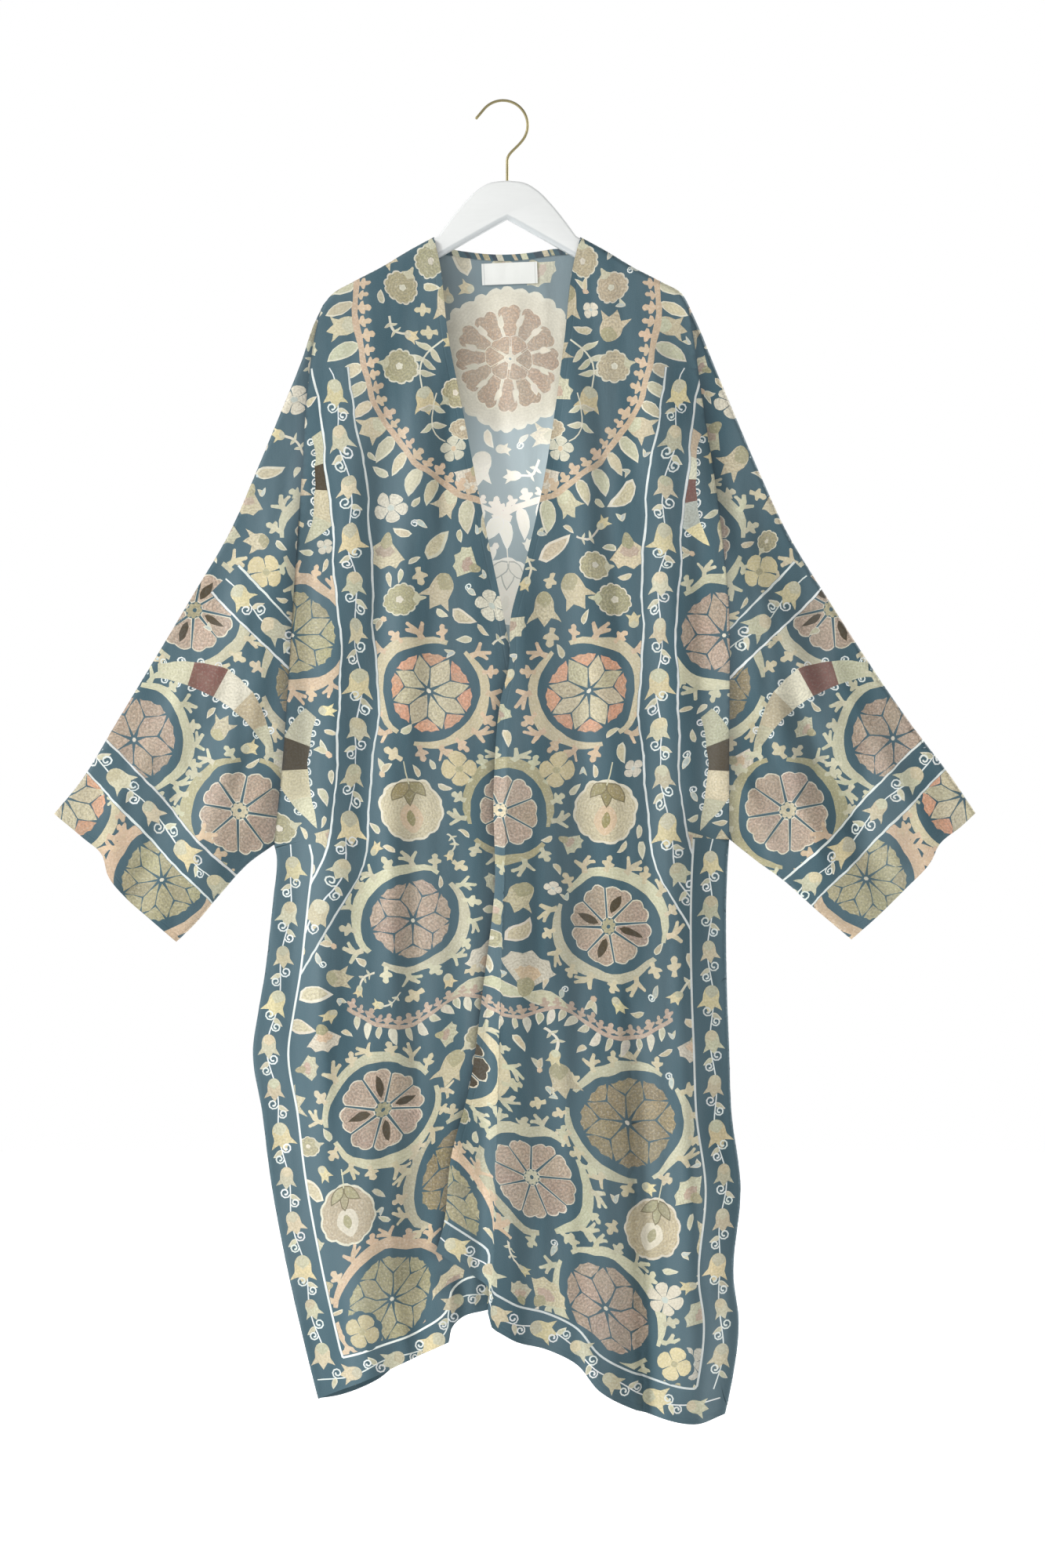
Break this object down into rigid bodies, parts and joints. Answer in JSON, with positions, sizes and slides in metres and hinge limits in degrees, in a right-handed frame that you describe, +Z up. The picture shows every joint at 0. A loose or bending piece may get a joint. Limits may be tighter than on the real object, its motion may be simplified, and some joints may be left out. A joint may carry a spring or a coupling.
{
  "type": "kimono on hanger",
  "caption": "Long open-front kimono in slate-blue printed crepe with wide sleeves, hung on a flat white wooden hanger with a brass wire hook",
  "frame": {"origin": "the underside of the hook's crown, where a nail or rail carries the hanger", "axes": "+Z up, -Y the front of the kimono, +X the viewer's right when facing the front"},
  "size_m": [1.0226, 0.0796, 1.4661],
  "materials": {
    "printed_cloth": "matt crepe with a soft sheen, slate-blue ground printed in tan, cream, coral and olive, wrong side paler",
    "label_weave": "white damask weave, blank",
    "painted_wood": "satin white paint, eased edges",
    "brass_wire": "drawn wire, slightly dulled"
  },
  "bodies": {
    "root": {"back": "printed_cloth", "front_left": "printed_cloth", "front_right": "printed_cloth", "sleeve_left": "printed_cloth", "sleeve_right": "printed_cloth", "neck_strip": "printed_cloth", "neck_label": "label_weave", "hanger_wood": "painted_wood", "hanger_hook": "brass_wire"}
  },
  "joints": []
}
